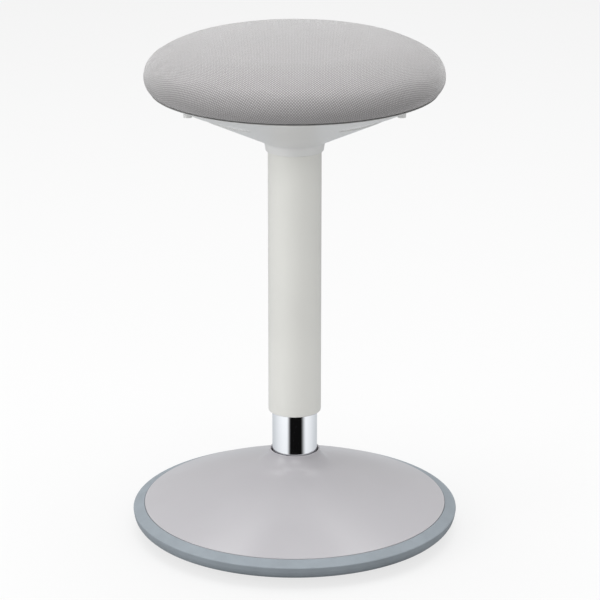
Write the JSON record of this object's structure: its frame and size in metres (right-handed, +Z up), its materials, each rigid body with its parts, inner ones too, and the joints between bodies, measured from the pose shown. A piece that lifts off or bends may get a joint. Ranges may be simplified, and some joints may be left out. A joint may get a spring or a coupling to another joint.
{
  "type": "wobble stool",
  "caption": "Active sitting stool: round crowned fabric cushion on a telescoping gas column, over a shallow dome base with a rubber rocking sole.",
  "frame": {"origin": "centre of the flat face that the stool stands on, on the column's axis", "axes": "+Z up along the column, from the sole to the cushion; -Y to the picture's camera; the paddles lie on +X and -X"},
  "size_m": [0.3628, 0.3628, 0.5673],
  "materials": {
    "rim_rubber": "satin",
    "black_rubber": "matte",
    "inner_plastic": "matte",
    "weight_iron": "matte",
    "plain_steel": "satin",
    "black_steel": "satin",
    "dome_plastic": "satin",
    "tube_chrome": "mirror polished",
    "bearing_plastic": "satin",
    "sleeve_plastic": "satin",
    "housing_plastic": "semi-gloss",
    "button_plastic": "satin",
    "board_plywood": "bare",
    "foam": "open cell",
    "seat_fabric": "fine plain weave"
  },
  "bodies": {
    "base": {"rocker_sole": "rim_rubber", "sole_pan": "inner_plastic", "counterweight": "weight_iron", "weight_screws": "plain_steel", "column_hub": "black_steel", "hub_bolts": "plain_steel", "base_cover": "dome_plastic", "cover_screws": "plain_steel", "neck_gasket": "black_rubber", "outer_tube": "tube_chrome", "tube_end_plate": "plain_steel", "guide_bush": "bearing_plastic", "lower_race": "plain_steel", "foot_washer": "plain_steel"},
    "bearing": {"bearing_balls": "plain_steel", "ball_cage": "inner_plastic"},
    "rod": {"piston_rod": "plain_steel", "rod_clip": "plain_steel", "upper_race": "plain_steel", "bump_stop": "black_rubber", "piston": "bearing_plastic", "piston_seal": "black_rubber", "piston_nut": "plain_steel"},
    "seat": {"gas_cylinder": "black_steel", "rod_guide": "bearing_plastic", "valve_body": "bearing_plastic", "sleeve": "sleeve_plastic", "sleeve_glide": "bearing_plastic", "taper_socket": "black_steel", "seat_bracket": "black_steel", "bracket_bolts": "plain_steel", "tee_nuts": "plain_steel", "seat_housing": "housing_plastic", "housing_screws": "plain_steel", "paddle_pins": "plain_steel", "seat_board": "board_plywood", "foam_pad": "foam", "fabric_cover": "seat_fabric", "cover_staples": "plain_steel"},
    "left_paddle": {"left_paddle": "housing_plastic", "link_pin": "plain_steel"},
    "right_paddle": {"right_paddle": "housing_plastic"},
    "valve_button": {"valve_button": "button_plastic"}
  },
  "joints": [
    {"name": "seat_swivel", "type": "hinge", "parent": "base", "child": "rod", "pos_m": [0, 0, 0.03204], "axis": [0, 0, 1], "continuous": true},
    {"name": "bearing_roll", "type": "hinge", "parent": "base", "child": "bearing", "pos_m": [0, 0, 0.03202], "axis": [0, 0, 1], "continuous": true},
    {"name": "seat_lift", "type": "slide", "parent": "rod", "child": "seat", "axis": [0, 0, 1], "range_m": [0, 0.25]},
    {"name": "left_paddle_pull", "type": "hinge", "parent": "seat", "child": "left_paddle", "pos_m": [-0.045, 0, 0.4962], "axis": [0, 1, 0], "range_deg": [0, 5], "stiffness_Nm_per_rad": 1.2},
    {"name": "right_paddle_pull", "type": "hinge", "parent": "seat", "child": "right_paddle", "pos_m": [0.045, 0, 0.4962], "axis": [0, -1, 0], "range_deg": [0, 5]},
    {"name": "valve_press", "type": "slide", "parent": "seat", "child": "valve_button", "axis": [0, 0, -1], "range_m": [0, 0.0045]}
  ],
  "couplings": [
    {"joint": "bearing_roll", "follows": "seat_swivel", "ratio": 0.5},
    {"joint": "right_paddle_pull", "follows": "left_paddle_pull", "ratio": 1},
    {"joint": "valve_press", "follows": "left_paddle_pull", "m_per_rad": 0.0495}
  ]
}
